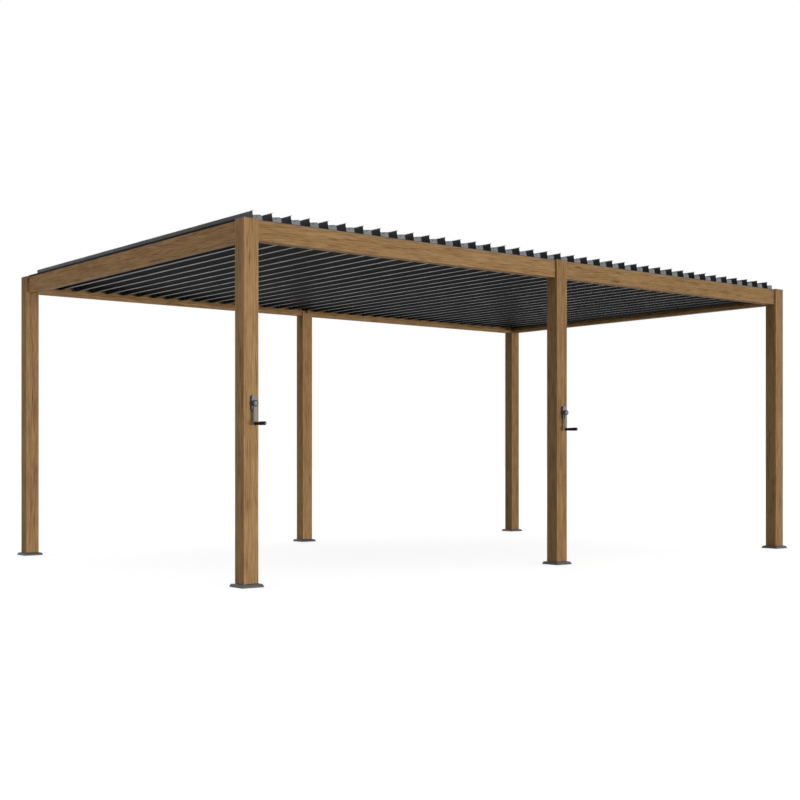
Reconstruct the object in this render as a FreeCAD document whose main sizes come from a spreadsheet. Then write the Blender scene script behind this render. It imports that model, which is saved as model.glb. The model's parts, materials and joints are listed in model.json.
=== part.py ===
import FreeCAD, Part
import os
import Sketcher

# Louvered pergola on six posts, in millimetres.
# The origin is the middle of the front left post's foot, on the ground. X runs along the front
# to the right, Y runs to the back and Z up. The louvres lie along Y and turn about their pins.

SIZES = {
    # frame
    "post_side": 110,               # outside of the square tube
    "post_wall": 3,
    "bay_length": 2845,             # post centre to post centre along the front
    "frame_depth": 3490,            # post centre to post centre, front to back
    "frame_height": 2380,           # ground to the top of the post caps
    "cap_thickness": 3,             # sheet cap on each post
    "base_side": 148,
    "base_thickness": 8,
    "anchor_radius": 6,             # holes for the anchor bolts
    "anchor_spacing": 126,
    "anchor_sides": 8,
    "notch_leg": 16,                # width of a corner post's side left standing at the top
    "notch_gap": 0.5,               # between the rail and the front of the notch
    # foot covers
    "cover_reach": 26,              # how far a cover stands out from its post
    "cover_height": 25,
    "cover_rim": 8,                 # upright edge at the ground
    "cover_shoulder": 21,           # height where the bevel changes slope
    "cover_shoulder_reach": 18,
    "cover_top_reach": 3,
    "cover_wall": 2.2,
    "cover_gap": 0.3,               # between a cover and its post
    # beams
    "beam_recess": 20,              # beam face behind the post face
    "beam_height": 133,
    "beam_drop": 8,                 # beam top below the post top
    "beam_box": 11,                 # depth of the tall hollow wall
    "beam_depth": 70,               # whole depth, with the gutter
    "beam_wall": 2.2,
    "gutter_lip": 6,
    # louvres
    "louvre_pitch": 150,
    "louvre_wall": 1.5,
    "louvre_left": 82.5,            # pin to the outside of the gutter at the underside
    "gutter_left": 79.5,            # the same at the gutter wall's top edge
    "gutter_top": 8,                # gutter wall's top edge below the pin
    "gutter_corner": 5,             # bevel at the gutter's lower edge
    "louvre_shoulder": 41,          # pin to the left edge of the flat top
    "louvre_right": 52,             # pin to the right wall of the box
    "louvre_tip": 79,               # pin to the edge of the flat top
    "louvre_rise": 24,              # pin to the flat top
    "louvre_drop": 45,              # pin to the underside
    "louvre_corner": 16,            # rounding at the lower right
    "drip_out": 5.5,
    "drip_down": 13,
    "end_cap": 2,
    "end_clearance": 12,            # between a louvre's end and its bearing rail
    "sweep_gap": 7,                 # between the turning louvres and the gutters under them
    "seat_gap": 0.3,                # between an end cap and the blade
    "pin_radius": 4,
    "pin_past": 6,                  # pin beyond the rail's wall
    "pin_play": 0.05,
    "pin_drop": 13,                 # pin axis below the post tops
    "open_angle": 98,               # from closed flat to where the louvres stand at rest
    "field_shift": 19,              # pins to the right of the middle of the roof
    "drain_width": 26,
    "drain_height": 14,
    # flashing on the left beam
    "flashing_wall": 2,
    "flashing_leg": 40,             # height of the leg on the beam's wall
    "flashing_drip": 10,
    "flashing_clearance": 30,       # from its edge to the first louvre's flat top when closed
    "flashing_gap": 0.3,
    # bearing rails
    "rail_depth": 30,
    "rail_wall": 3,
    "rail_above": 11,               # rail's top above the pins
    "rail_below": 15,
    "rail_end": 26,                 # rail beyond its last pin
    "bearing_sides": 8,             # of the pins and their holes
    # crank drives
    "drive_height": 1185,           # hub axis above the ground
    "housing_width": 36,
    "housing_top": 50,              # hub axis to the top of the housing
    "housing_bottom": 44,
    "housing_depth": 20,
    "housing_round": 6,
    "hub_radius": 20,
    "hub_length": 24,
    "hub_gap": 0.3,
    "crank_offset": 10,             # hub axis to the right of the post's middle
    "arm_behind": 8,                # back of the hub to the back of the arm
    "shaft_radius": 7,
    "shaft_depth": 14,
    "arm_length": 130,
    "arm_width": 22,
    "arm_thickness": 7,
    "grip_radius": 12.5,
    "grip_length": 114,
    "grip_gap": 0.5,
    "bolt_radius": 3.5,
    "bolt_head": 5.5,
    "bolt_head_length": 3,
}

doc = FreeCAD.newDocument("pergola")
sheet = doc.addObject("Spreadsheet::Sheet", "Sizes")
for row, (alias, number) in enumerate(SIZES.items(), start=1):
    sheet.set("A%d" % row, str(number))
    sheet.setAlias("A%d" % row, alias)
doc.recompute()


def size(alias):
    return float(sheet.get(alias))


def bind(text):
    """Turn {alias} in a formula into the sheet's cell."""
    return text.replace("{", "Sizes.").replace("}", "")


def tie(item, formulas):
    for name, formula in formulas.items():
        item.setExpression(name, bind(formula))


def box(name, length, width, height, x="0", y="0", z="0"):
    item = doc.addObject("Part::Box", name)
    tie(item, {"Length": length, "Width": width, "Height": height})
    tie(item, {"Placement.Base.x": x, "Placement.Base.y": y, "Placement.Base.z": z})
    return item


TURNS = {
    "z": FreeCAD.Rotation(),
    "y": FreeCAD.Rotation(FreeCAD.Vector(1, 0, 0), -90),
}


def rod(name, radius, length, x="0", y="0", z="0", along="z"):
    item = doc.addObject("Part::Cylinder", name)
    item.Placement = FreeCAD.Placement(FreeCAD.Vector(0, 0, 0), TURNS[along])
    tie(item, {"Radius": radius, "Height": length})
    tie(item, {"Placement.Base.x": x, "Placement.Base.y": y, "Placement.Base.z": z})
    return item


def prism(name, sides, inner_radius, length, x="0", y="0", z="0", along="z"):
    """A regular prism, sized by the circle that fits inside it."""
    item = doc.addObject("Part::Prism", name)
    item.Placement = FreeCAD.Placement(FreeCAD.Vector(0, 0, 0), TURNS[along])
    tie(item, {"Polygon": sides, "Height": length})
    tie(item, {"Circumradius": "(%s) / cos(180 deg / %s)" % (inner_radius, sides)})
    tie(item, {"Placement.Base.x": x, "Placement.Base.y": y, "Placement.Base.z": z})
    return item


def cut(name, base, tools):
    if len(tools) > 1:
        tool = fuse(name + "_tools", tools)
    else:
        tool = tools[0]
    item = doc.addObject("Part::Cut", name)
    item.Base = base
    item.Tool = tool
    return item


def fuse(name, shapes):
    item = doc.addObject("Part::MultiFuse", name)
    item.Shapes = shapes
    return item


def mirrored_in_x(name, source):
    item = doc.addObject("Part::Mirroring", name)
    item.Source = source
    item.Normal = FreeCAD.Vector(1, 0, 0)
    item.Base = FreeCAD.Vector(0, 0, 0)
    return item


def placed(name, sources, x="0", y="0", z="0", turn=0):
    """A copy of the sources, turned about Z and set at x, y, z."""
    item = doc.addObject("Part::Compound", name)
    item.Links = sources
    upright = FreeCAD.Rotation(FreeCAD.Vector(0, 0, 1), turn)
    item.Placement = FreeCAD.Placement(FreeCAD.Vector(0, 0, 0), upright)
    tie(item, {"Placement.Base.x": x, "Placement.Base.y": y, "Placement.Base.z": z})
    return item


def group(name, sources):
    item = doc.addObject("Part::Compound", name)
    item.Links = sources
    return item


def outline(sketch, corners):
    """Draw a closed polygon whose corners are pairs of formulas."""
    count = len(corners)
    first = sketch.GeometryCount
    for index in range(count):
        start = FreeCAD.Vector(index, index * index, 0)
        end = FreeCAD.Vector(index + 1, (index + 1) ** 2, 0)
        sketch.addGeometry(Part.LineSegment(start, end), False)
    for index in range(count):
        line = first + index
        following = first + (index + 1) % count
        sketch.addConstraint(Sketcher.Constraint("Coincident", line, 2, following, 1))
    for index, (across, up) in enumerate(corners):
        for kind, formula in (("DistanceX", across), ("DistanceY", up)):
            where = sketch.addConstraint(Sketcher.Constraint(kind, -1, 1, first + index, 1, 1.0))
            sketch.setExpression("Constraints[%d]" % where, bind(formula))


def extrusion(name, plane, loops, length, backwards=False):
    """A body padded from polygons on one of its own origin planes."""
    body = doc.addObject("PartDesign::Body", name)
    sketch = body.newObject("Sketcher::SketchObject", name + "_section")
    origin = [item for item in body.Origin.OriginFeatures if item.Role == plane][0]
    sketch.AttachmentSupport = [(origin, "")]
    sketch.MapMode = "FlatFace"
    for corners in loops:
        outline(sketch, corners)
    doc.recompute()
    pad = body.newObject("PartDesign::Pad", name + "_pad")
    pad.Profile = sketch
    pad.Reversed = backwards
    tie(pad, {"Length": length})
    sketch.Visibility = False
    body.Tip = pad
    doc.recompute()
    return body


# Posts: square tubes, cut back at the top where the rails and louvres pass
half = "{post_side} / 2"
tube_top = "{frame_height} - {cap_thickness}"
beam_floor = "{frame_height} - {beam_drop} - {beam_height}"
louvre_sweep = "sqrt({louvre_left}^2 + {louvre_drop}^2)"
gutter_wall = "({beam_height} + {beam_drop} - {pin_drop} - %s - {sweep_gap})" % louvre_sweep
notch_floor = beam_floor + " + " + gutter_wall
notch_front = "{beam_recess} + {beam_box} - {notch_gap} - {post_side} / 2"


def post_tube(name):
    outside = box(name + "_outside", "{post_side}", "{post_side}", tube_top + " - {base_thickness}",
                  "-" + half, "-" + half, "{base_thickness}")
    inside = box(name + "_inside", "{post_side} - 2 * {post_wall}", "{post_side} - 2 * {post_wall}",
                 tube_top, "{post_wall} - " + half, "{post_wall} - " + half, "0")
    return outside, inside


def corner_post(name):
    outside, inside = post_tube(name)
    notch = box(name + "_notch", "{post_side}", "{post_side}", "{beam_height}",
                "{notch_leg} - " + half, notch_front, notch_floor)
    return cut(name, outside, [inside, notch])


def middle_post(name):
    outside, inside = post_tube(name)
    notch = box(name + "_notch", "2 * {post_side}", "{post_side}", "{beam_height}",
                "-{post_side}", notch_front, notch_floor)
    return cut(name, outside, [inside, notch])


left_post = corner_post("left_corner_post")
right_post = mirrored_in_x("right_corner_post", left_post)
centre_post = middle_post("centre_post")

columns = {"left": "0", "middle": "{bay_length}", "right": "2 * {bay_length}"}
nodes = []
for side, x in columns.items():
    front = {"left": left_post, "middle": centre_post, "right": right_post}[side]
    back = {"left": right_post, "middle": centre_post, "right": left_post}[side]
    nodes.append(placed("post_front_" + side, [front], x))
    nodes.append(placed("post_back_" + side, [back], x, "{frame_depth}", turn=180))


# Caps on the posts, cut like the tubes
def corner_cap(name):
    plate = box(name + "_plate", "{post_side}", "{post_side}", "{cap_thickness}",
                "-" + half, "-" + half, tube_top)
    notch = box(name + "_notch", "{post_side}", "{post_side}", "2 * {cap_thickness}",
                "{notch_leg} - " + half, notch_front, tube_top + " - {cap_thickness} / 2")
    return cut(name, plate, [notch])


def middle_cap(name):
    return box(name, "{post_side}", notch_front + " + " + half, "{cap_thickness}",
               "-" + half, "-" + half, tube_top)


left_cap = corner_cap("left_corner_cap")
right_cap = mirrored_in_x("right_corner_cap", left_cap)
centre_cap = middle_cap("centre_cap")
caps = []
for side, x in columns.items():
    front = {"left": left_cap, "middle": centre_cap, "right": right_cap}[side]
    back = {"left": right_cap, "middle": centre_cap, "right": left_cap}[side]
    caps.append(placed("cap_front_" + side, [front], x))
    caps.append(placed("cap_back_" + side, [back], x, "{frame_depth}", turn=180))
nodes.append(group("post_caps", caps))


# Base plates with four anchor holes each
plate = box("base_plate_blank", "{base_side}", "{base_side}", "{base_thickness}",
            "-{base_side} / 2", "-{base_side} / 2")
holes = []
for across in (-1, 1):
    for along in (-1, 1):
        holes.append(prism("anchor_hole_%d" % len(holes), "{anchor_sides}", "{anchor_radius}",
                           "{base_thickness}", "%d * {anchor_spacing} / 2" % across,
                           "%d * {anchor_spacing} / 2" % along))
base_plate = cut("base_plate", plate, holes)


# Foot covers: a bevelled skirt that hides each base plate
def square(sketch, reach):
    corners = [("-(%s)" % reach, "-(%s)" % reach), (reach, "-(%s)" % reach),
               (reach, reach), ("-(%s)" % reach, reach)]
    outline(sketch, corners)


def frustum(name, low, high, low_z, high_z):
    """A square block that narrows from low to high, both half widths."""
    body = doc.addObject("PartDesign::Body", name)
    sections = []
    for label, reach, level in (("low", low, low_z), ("high", high, high_z)):
        sketch = body.newObject("Sketcher::SketchObject", name + "_" + label)
        origin = [item for item in body.Origin.OriginFeatures if item.Role == "XY_Plane"][0]
        sketch.AttachmentSupport = [(origin, "")]
        sketch.MapMode = "FlatFace"
        sketch.setExpression("AttachmentOffset.Base.z", bind(level))
        square(sketch, reach)
        sections.append(sketch)
    doc.recompute()
    loft = body.newObject("PartDesign::AdditiveLoft", name + "_loft")
    loft.Profile = sections[0]
    loft.Sections = [sections[1]]
    loft.Ruled = True
    body.Tip = loft
    doc.recompute()
    return body


def cover_shell(name, inset):
    """The cover's outer form, or with an inset the space inside it."""
    reach = "{post_side} / 2 + {cover_reach}" + inset
    shoulder = "{post_side} / 2 + {cover_shoulder_reach}" + inset
    top = "{post_side} / 2 + {cover_top_reach}" + inset
    rim = frustum(name + "_rim", reach, reach, "0", "{cover_rim}" + inset)
    lower = frustum(name + "_lower", reach, shoulder, "{cover_rim}" + inset,
                    "{cover_shoulder}" + inset)
    upper = frustum(name + "_upper", shoulder, top, "{cover_shoulder}" + inset,
                    "{cover_height}" + inset)
    return fuse(name, [rim, lower, upper])


cover_outer = cover_shell("cover_outer", "")
cover_inner = cover_shell("cover_inner", " - {cover_wall}")
sleeve = box("cover_sleeve", "{post_side} + 2 * {cover_gap}", "{post_side} + 2 * {cover_gap}",
             "2 * {cover_height}", "-{post_side} / 2 - {cover_gap}", "-{post_side} / 2 - {cover_gap}")
foot_cover = cut("foot_cover", cover_outer, [cover_inner, sleeve])

plates = []
covers = []
for side, x in columns.items():
    for end, y in (("front", "0"), ("back", "{frame_depth}")):
        plates.append(placed("plate_%s_%s" % (end, side), [base_plate], x, y))
        covers.append(placed("cover_%s_%s" % (end, side), [foot_cover], x, y))
nodes.append(group("base_plates", plates))
nodes.append(group("foot_covers", covers))


# Beams: one extruded section with a tall hollow wall outside and a gutter inside
beam_section = [
    [
        ("0", "0"),
        ("{beam_depth}", "0"),
        ("{beam_depth}", gutter_wall),
        ("{beam_depth} - {gutter_lip}", gutter_wall),
        ("{beam_depth} - {gutter_lip}", gutter_wall + " - {beam_wall}"),
        ("{beam_depth} - {beam_wall}", gutter_wall + " - {beam_wall}"),
        ("{beam_depth} - {beam_wall}", "{beam_wall}"),
        ("{beam_box}", "{beam_wall}"),
        ("{beam_box}", "{beam_height}"),
        ("0", "{beam_height}"),
    ],
    [
        ("{beam_wall}", "{beam_wall}"),
        ("{beam_box} - {beam_wall}", "{beam_wall}"),
        ("{beam_box} - {beam_wall}", "{beam_height} - {beam_wall}"),
        ("{beam_wall}", "{beam_height} - {beam_wall}"),
    ],
]
long_beam = extrusion("long_beam", "YZ_Plane", beam_section, "{bay_length} - {post_side}")
short_beam = extrusion("short_beam", "YZ_Plane", beam_section, "{frame_depth} - {post_side}")
near_face = "{beam_recess} - {post_side} / 2"
for side, x in (("left", "0"), ("right", "{bay_length}")):
    nodes.append(placed("beam_front_" + side, [long_beam], x + " + " + half, near_face, beam_floor))
    nodes.append(placed("beam_back_" + side, [long_beam], x + " + {bay_length} - " + half,
                        "{frame_depth} - {beam_recess} + {post_side} / 2", beam_floor, turn=180))
nodes.append(placed("beam_left", [short_beam], near_face, "{frame_depth} - " + half,
                    beam_floor, turn=-90))
nodes.append(placed("beam_right", [short_beam],
                    "2 * {bay_length} - {beam_recess} + {post_side} / 2", half, beam_floor, turn=90))


# Louvres: drawn closed, with the pin at the origin
corner_in = "{louvre_corner} * (1 - sqrt(0.5))"
gutter_lean = "({louvre_left} - {gutter_left}) / ({louvre_drop} - {gutter_top})"
bevel_x = "%s * {gutter_corner} - {louvre_left}" % gutter_lean
bevel_z = "{gutter_corner} - {louvre_drop}"
inner_floor = "{louvre_wall} - {louvre_drop}"
inner_top = "{louvre_rise} - {louvre_wall}"
louvre_section = [
    [
        ("{louvre_tip} + {drip_out}", "{louvre_rise} - {drip_down}"),
        ("{louvre_tip}", "{louvre_rise}"),
        ("-{louvre_shoulder}", "{louvre_rise}"),
        ("-{louvre_shoulder}", inner_floor),
        ("{gutter_corner} - {louvre_left}", inner_floor),
        (bevel_x + " + {louvre_wall}", bevel_z),
        ("{louvre_wall} - {gutter_left}", "-{gutter_top}"),
        ("-{gutter_left}", "-{gutter_top}"),
        (bevel_x, bevel_z),
        ("{gutter_corner} - {louvre_left}", "-{louvre_drop}"),
        ("{louvre_right} - {louvre_corner}", "-{louvre_drop}"),
        ("{louvre_right} - " + corner_in, corner_in + " - {louvre_drop}"),
        ("{louvre_right}", "{louvre_corner} - {louvre_drop}"),
        ("{louvre_right}", inner_top),
        ("{louvre_tip} - {louvre_wall}", inner_top),
        ("{louvre_tip} - {louvre_wall} + {drip_out}", "{louvre_rise} - {drip_down}"),
    ],
    [
        ("{louvre_wall} - {louvre_shoulder}", inner_top),
        ("{louvre_wall} - {louvre_shoulder}", inner_floor),
        ("-{louvre_wall} / 2", inner_floor),
        ("-{louvre_wall} / 2", inner_top),
    ],
    [
        ("{louvre_wall} / 2", inner_top),
        ("{louvre_wall} / 2", inner_floor),
        ("{louvre_right} - {louvre_corner}", inner_floor),
        ("{louvre_right} - %s - {louvre_wall} * sqrt(0.5)" % corner_in,
         corner_in + " + {louvre_wall} * sqrt(0.5) - {louvre_drop}"),
        ("{louvre_right} - {louvre_wall}", "{louvre_corner} - {louvre_drop}"),
        ("{louvre_right} - {louvre_wall}", inner_top),
    ],
]
cap_section = [
    [
        ("-{gutter_left}", "-{gutter_top}"),
        ("-{louvre_shoulder}", "{louvre_rise}"),
        ("{louvre_right}", "{louvre_rise}"),
        ("{louvre_right}", "{louvre_corner} - {louvre_drop}"),
        ("{louvre_right} - " + corner_in, corner_in + " - {louvre_drop}"),
        ("{louvre_right} - {louvre_corner}", "-{louvre_drop}"),
        ("{gutter_corner} - {louvre_left}", "-{louvre_drop}"),
        (bevel_x, bevel_z),
    ],
]
louvre_start = "{beam_recess} + {beam_box} + {rail_depth} + {end_clearance} - {post_side} / 2"
louvre_reach = "{frame_depth} - 2 * (%s)" % louvre_start
pin_length = "({end_clearance} + {rail_wall} + {pin_past})"
blade = extrusion("louvre_blade", "XZ_Plane", louvre_section,
                  louvre_reach + " - 2 * ({end_cap} + {seat_gap})", backwards=True)
cap_plate = extrusion("end_cap_plate", "XZ_Plane", cap_section, "{end_cap}", backwards=True)


def pin(name, y):
    """An eight-sided pin that goes through the end cap's plate."""
    return prism(name, "{bearing_sides}", "{pin_radius} * cos(180 deg / {bearing_sides})",
                 pin_length + " + {end_cap}", y=y, along="y")


drain = box("end_cap_drain", "{drain_width}", "2 * {end_cap}", "{drain_height}",
            "-({louvre_left} + {louvre_shoulder}) / 2 - {drain_width} / 2", "-{end_cap} / 2",
            inner_floor)
drained_cap = cut("drained_cap", cap_plate, [drain])
front_cap = fuse("louvre_front_cap", [drained_cap, pin("front_pin", "-" + pin_length)])
back_cap = fuse("louvre_back_cap", [drained_cap, pin("back_pin", "0")])

beam_inside = size("beam_recess") + size("beam_box")
roof_width = 2 * size("bay_length") + size("post_side") - 2 * beam_inside
louvre_count = int(roof_width / size("louvre_pitch"))
first_pin = "{bay_length} - %d * {louvre_pitch} / 2 + {field_shift}" % (louvre_count - 1)
pin_height = "{frame_height} - {pin_drop}"
louvre_parts = [
    placed("front_cap_in_place", [front_cap]),
    placed("blade_in_place", [blade], y="{end_cap} + {seat_gap}"),
    placed("back_cap_in_place", [back_cap], y=louvre_reach + " - {end_cap}"),
]
for index in range(louvre_count):
    louvre = doc.addObject("Part::Compound", "louvre_%02d" % (index + 1))
    louvre.Links = louvre_parts
    tilt = FreeCAD.Rotation(FreeCAD.Vector(0, 1, 0), -size("open_angle"))
    louvre.Placement = FreeCAD.Placement(FreeCAD.Vector(0, 0, 0), tilt)
    tie(louvre, {
        "Placement.Base.x": first_pin + " + %d * {louvre_pitch}" % index,
        "Placement.Base.y": louvre_start,
        "Placement.Base.z": pin_height,
    })
    nodes.append(louvre)


# Flashing: an angle on the left beam that covers the gap to the first louvre
flashing_left = "{beam_recess} + {beam_box} + {flashing_gap} - {post_side} / 2"
flashing_reach = "(%s - {louvre_shoulder} - {flashing_clearance} - (%s))" % (first_pin, flashing_left)
flashing_section = [
    [
        ("0", "-{flashing_leg}"),
        ("{flashing_wall}", "-{flashing_leg}"),
        ("{flashing_wall}", "-{flashing_wall}"),
        (flashing_reach + " - {flashing_wall}", "-{flashing_wall}"),
        (flashing_reach + " - {flashing_wall}", "-{flashing_drip}"),
        (flashing_reach, "-{flashing_drip}"),
        (flashing_reach, "0"),
        ("0", "0"),
    ],
]
flashing = extrusion("flashing_angle", "XZ_Plane", flashing_section, louvre_reach, backwards=True)
nodes.append(placed("side_flashing", [flashing], flashing_left, louvre_start,
                    pin_height + " + {louvre_rise}"))


# Bearing rails: a tube along the front beams and one along the back, with a hole for each pin
def rail_box(name, inset):
    """The rail's outside, or with the wall as inset its inside."""
    return box(name, "%d * {louvre_pitch} + 2 * {rail_end}" % (louvre_count - 1),
               "{rail_depth} - 2 * " + inset, "{rail_above} + {rail_below} - 2 * " + inset,
               "-{rail_end}", inset, inset + " - {rail_below}")


def rail(name, wall_y):
    tools = [rail_box(name + "_inside", "{rail_wall}")]
    for index in range(louvre_count):
        tools.append(prism("%s_bearing_%02d" % (name, index + 1), "{bearing_sides}",
                           "{pin_radius} + {pin_play}", "{rail_wall}",
                           "%d * {louvre_pitch}" % index, wall_y, along="y"))
    return cut(name, rail_box(name + "_outside", "0"), tools)


rail_front = "{beam_recess} + {beam_box} - {post_side} / 2"
rails = [
    placed("rail_front", [rail("front_rail", "{rail_depth} - {rail_wall}")],
           first_pin, rail_front, pin_height),
    placed("rail_back", [rail("back_rail", "0")],
           first_pin, "{frame_depth} - (%s) - {rail_depth}" % rail_front, pin_height),
]
nodes.append(group("bearing_rails", rails))


# Crank drives on the front left and front middle posts
def rounded_plate(half_width, below, above, corner):
    """Corners of a plate with each corner cut at 45 degrees."""
    lower = "%s - (%s)" % (corner, below)
    upper = "%s - %s" % (above, corner)
    side = "%s - %s" % (half_width, corner)
    return [(side, "-(%s)" % below), (half_width, lower), (half_width, upper), (side, above),
            ("-(%s)" % side, above), ("-(%s)" % half_width, upper),
            ("-(%s)" % half_width, lower), ("-(%s)" % side, "-(%s)" % below)]


housing_face = extrusion("housing_body", "XZ_Plane", [rounded_plate(
    "{housing_width} / 2", "{housing_bottom}", "{housing_top}", "{housing_round}")],
    "{housing_depth}")
bore = rod("housing_bore", "{shaft_radius} + {pin_play}", "{shaft_depth} + {hub_gap}",
           y="-{housing_depth}", along="y")
housing = cut("crank_housing", housing_face, [bore])
hub_face = "{housing_depth} + {hub_gap} + {hub_length}"
hub = rod("crank_hub", "{hub_radius}", "{hub_length}", y="-(%s)" % hub_face, along="y")
shaft = rod("crank_shaft", "{shaft_radius}", "{hub_length} + {hub_gap} + {shaft_depth}",
            y="-(%s)" % hub_face, along="y")
arm_face = "{housing_depth} + {hub_gap} + {arm_behind} + {arm_thickness}"
arm = box("crank_arm_bar", "{arm_width}", "{arm_thickness}", "{arm_length}",
          "-{arm_width} / 2", "-(%s)" % arm_face, "-{arm_length}")
arm_end = rod("crank_arm_end", "{arm_width} / 2", "{arm_thickness}",
              y="-(%s)" % arm_face, z="-{arm_length}", along="y")
bolt_length = "{grip_length} + 2 * {grip_gap}"
bolt = rod("grip_bolt", "{bolt_radius}", bolt_length,
           y="-(%s) - (%s)" % (arm_face, bolt_length), z="-{arm_length}", along="y")
bolt_head = rod("grip_bolt_head", "{bolt_head}", "{bolt_head_length}",
                y="-(%s) - (%s) - {bolt_head_length}" % (arm_face, bolt_length),
                z="-{arm_length}", along="y")
crank = fuse("crank", [hub, shaft, arm, arm_end, bolt, bolt_head])
grip_blank = rod("grip_blank", "{grip_radius}", "{grip_length}",
                 y="-(%s) - {grip_gap} - {grip_length}" % arm_face, z="-{arm_length}", along="y")
grip_bore = rod("grip_bore", "{bolt_radius} + {pin_play}", "{grip_length}",
                y="-(%s) - {grip_gap} - {grip_length}" % arm_face, z="-{arm_length}", along="y")
grip = cut("grip", grip_blank, [grip_bore])

housings = []
for side, x in (("left", "{crank_offset}"), ("right", "{bay_length} + {crank_offset}")):
    housings.append(placed("housing_" + side, [housing], x, "-" + half, "{drive_height}"))
    nodes.append(placed("crank_arm_" + side, [crank], x, "-" + half, "{drive_height}"))
    nodes.append(placed("crank_grip_" + side, [grip], x, "-" + half, "{drive_height}"))
nodes.append(group("crank_housings", housings))

doc.recompute()

for item in doc.Objects:
    for state in item.State:
        if state in ("Invalid", "Error"):
            raise RuntimeError(item.Name + " is " + state)

os.makedirs("parts", exist_ok=True)
for node in nodes:
    shape = node.Shape
    if shape.isNull() or not shape.isValid() or not shape.Solids:
        raise RuntimeError(node.Name + " has no valid solid")
    node.Label = node.Name
    shape.exportStep("parts/%s.step" % node.Label)
    print(node.Label, len(shape.Solids), "solids", round(shape.Volume), "mm3")
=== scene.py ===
import json
import math
import bmesh
import bpy
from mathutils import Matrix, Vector


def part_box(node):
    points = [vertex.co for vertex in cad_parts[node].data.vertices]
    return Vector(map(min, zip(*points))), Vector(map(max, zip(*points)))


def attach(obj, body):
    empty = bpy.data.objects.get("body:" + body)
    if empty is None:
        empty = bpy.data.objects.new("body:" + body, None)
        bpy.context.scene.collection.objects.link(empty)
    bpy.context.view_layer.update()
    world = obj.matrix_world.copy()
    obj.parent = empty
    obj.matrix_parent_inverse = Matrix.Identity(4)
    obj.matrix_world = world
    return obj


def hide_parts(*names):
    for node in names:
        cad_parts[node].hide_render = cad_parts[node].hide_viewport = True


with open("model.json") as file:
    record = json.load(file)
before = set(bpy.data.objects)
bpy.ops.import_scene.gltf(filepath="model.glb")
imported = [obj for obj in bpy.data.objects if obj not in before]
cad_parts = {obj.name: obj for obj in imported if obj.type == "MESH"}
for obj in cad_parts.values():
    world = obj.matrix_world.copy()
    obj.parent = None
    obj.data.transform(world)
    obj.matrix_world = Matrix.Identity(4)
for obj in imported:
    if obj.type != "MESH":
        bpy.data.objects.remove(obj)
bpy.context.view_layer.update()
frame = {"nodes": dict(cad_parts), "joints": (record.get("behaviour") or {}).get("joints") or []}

nodes = frame["nodes"]
print("frame loaded:", len(nodes), "nodes")

# Camera, floor and light

view = {
    "place": (-4.4342, -7.1216, 0.8429),
    "heading": -38.688,      # degrees from the back, negative to the right
    "lens": 58.02,
    "sensor": 36,
    "shiftY": 0.0707,        # lets the camera look level, so that the posts stay upright
    "reach": 200,
}
light = {
    "skyAbove": 0.74,        # brightness straight up and at the horizon
    "skyLevel": 0.45,
    # strength, elevation, degrees to the right of the front, width of the lamp in degrees
    "frontSun": (1.62, -3, 10, 14),
    "backFill": (1.0, 12, 150, 40),
}
floorLook = {
    "reach": 60,
    "level": -0.001,
    "color": (0.5, 0.5, 0.5),
    "lift": 0.73,            # added to what the camera sees of the floor
}
plainWhite = (1, 1, 1, 1)


def addObject(name, data):
    thing = bpy.data.objects.new(name, data)
    bpy.context.collection.objects.link(thing)
    return thing


def makeCamera():
    data = bpy.data.cameras.new("photoCamera")
    data.lens = view["lens"]
    data.sensor_width = view["sensor"]
    data.sensor_fit = "HORIZONTAL"
    data.shift_y = view["shiftY"]
    data.clip_end = view["reach"]
    camera = addObject("photoCamera", data)
    camera.location = view["place"]
    camera.rotation_euler = (math.radians(90), 0, math.radians(view["heading"]))
    bpy.context.scene.camera = camera


# 1 for camera, glossy and transmission rays
def seenDirectly(tree):
    path = tree.nodes.new("ShaderNodeLightPath")
    seen = path.outputs["Is Camera Ray"]
    for other in ("Is Glossy Ray", "Is Transmission Ray"):
        either = tree.nodes.new("ShaderNodeMath")
        either.operation = "MAXIMUM"
        tree.links.new(seen, either.inputs[0])
        tree.links.new(path.outputs[other], either.inputs[1])
        seen = either.outputs[0]
    return seen


def makeWorld():
    world = bpy.data.worlds.new("studioSky")
    bpy.context.scene.world = world
    world.use_nodes = True
    tree = world.node_tree
    tree.nodes.clear()
    sky = tree.nodes.new("ShaderNodeBackground")
    sky.inputs["Color"].default_value = plainWhite
    where = tree.nodes.new("ShaderNodeTexCoord")
    apart = tree.nodes.new("ShaderNodeSeparateXYZ")
    level = tree.nodes.new("ShaderNodeMapRange")
    level.inputs["To Min"].default_value = light["skyLevel"]
    level.inputs["To Max"].default_value = light["skyAbove"]
    tree.links.new(where.outputs["Generated"], apart.inputs[0])
    tree.links.new(apart.outputs[2], level.inputs[0])
    tree.links.new(level.outputs[0], sky.inputs["Strength"])
    backdrop = tree.nodes.new("ShaderNodeBackground")
    backdrop.inputs["Color"].default_value = plainWhite
    backdrop.inputs["Strength"].default_value = 1
    mix = tree.nodes.new("ShaderNodeMixShader")
    out = tree.nodes.new("ShaderNodeOutputWorld")
    tree.links.new(seenDirectly(tree), mix.inputs[0])
    tree.links.new(sky.outputs[0], mix.inputs[1])
    tree.links.new(backdrop.outputs[0], mix.inputs[2])
    tree.links.new(mix.outputs[0], out.inputs[0])


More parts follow.
